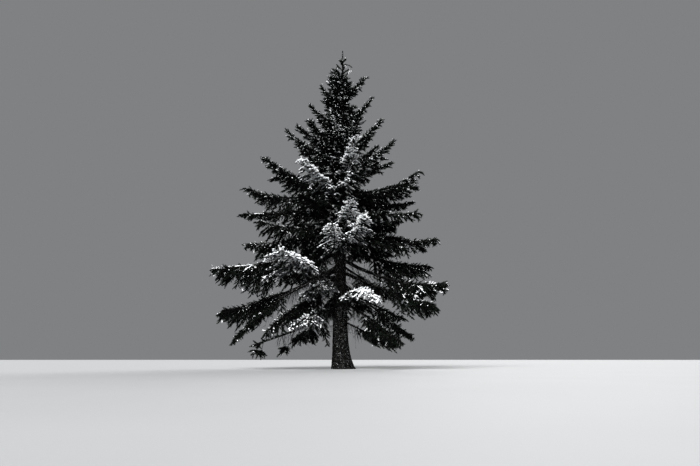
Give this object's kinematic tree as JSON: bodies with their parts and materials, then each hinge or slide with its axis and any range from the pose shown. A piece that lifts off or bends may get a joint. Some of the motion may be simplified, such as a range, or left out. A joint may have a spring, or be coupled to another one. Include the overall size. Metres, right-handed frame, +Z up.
{
  "type": "norway spruce tree",
  "caption": "Tall narrow spruce with a flared trunk, drooping lower boughs, ascending upper boughs and hanging sprays of needles under snow.",
  "frame": {"origin": "middle of the trunk's flat cut at ground level", "axes": "+Z up the trunk, -Y towards the viewer of the picture, +X to the right of that view"},
  "size_m": [7.8602, 6.0426, 12],
  "materials": {
    "bark": "rough flaking bark",
    "needles": "matt dark needles, partly rimed",
    "snow": "dry snow"
  },
  "bodies": {
    "root": {"trunk": "bark", "bough_front_a": "bark", "bough_left_a": "bark", "bough_left_b": "bark", "bough_left_c": "bark", "bough_left_d": "bark", "bough_left_e": "bark", "bough_right_a": "bark", "bough_right_b": "bark", "bough_right_c": "bark", "bough_right_d": "bark", "bough_right_e": "bark", "foliage_front_a": "needles", "foliage_left_a": "needles", "foliage_left_b": "needles", "foliage_left_c": "needles", "foliage_left_d": "needles", "foliage_left_e": "needles", "foliage_right_a": "needles", "foliage_right_b": "needles", "foliage_right_c": "needles", "foliage_right_d": "needles", "foliage_right_e": "needles", "crown_back_far": "needles", "crown_back_left": "needles", "crown_inner_back": "needles", "crown_inner_far": "needles", "crown_inner_front": "needles", "crown_inner_right": "needles", "crown_low_back": "needles", "crown_low_far": "needles", "crown_low_far_right": "needles", "crown_low_front": "needles", "crown_low_left": "needles", "crown_low_right": "needles", "crown_middle_a": "needles", "crown_middle_b": "needles", "crown_middle_c": "needles", "crown_middle_d": "needles", "crown_middle_e": "needles", "crown_middle_f": "needles", "crown_middle_g": "needles", "crown_middle_h": "needles", "crown_middle_i": "needles", "crown_middle_j": "needles", "crown_middle_k": "needles", "crown_top_a": "needles", "crown_top_b": "needles", "crown_top_c": "needles", "crown_top_d": "needles", "crown_top_e": "needles", "crown_top_f": "needles", "crown_top_g": "needles", "crown_top_h": "needles", "crown_upper_a": "needles", "crown_upper_b": "needles", "crown_upper_c": "needles", "crown_upper_d": "needles", "crown_upper_e": "needles", "crown_upper_f": "needles"}
  },
  "joints": []
}
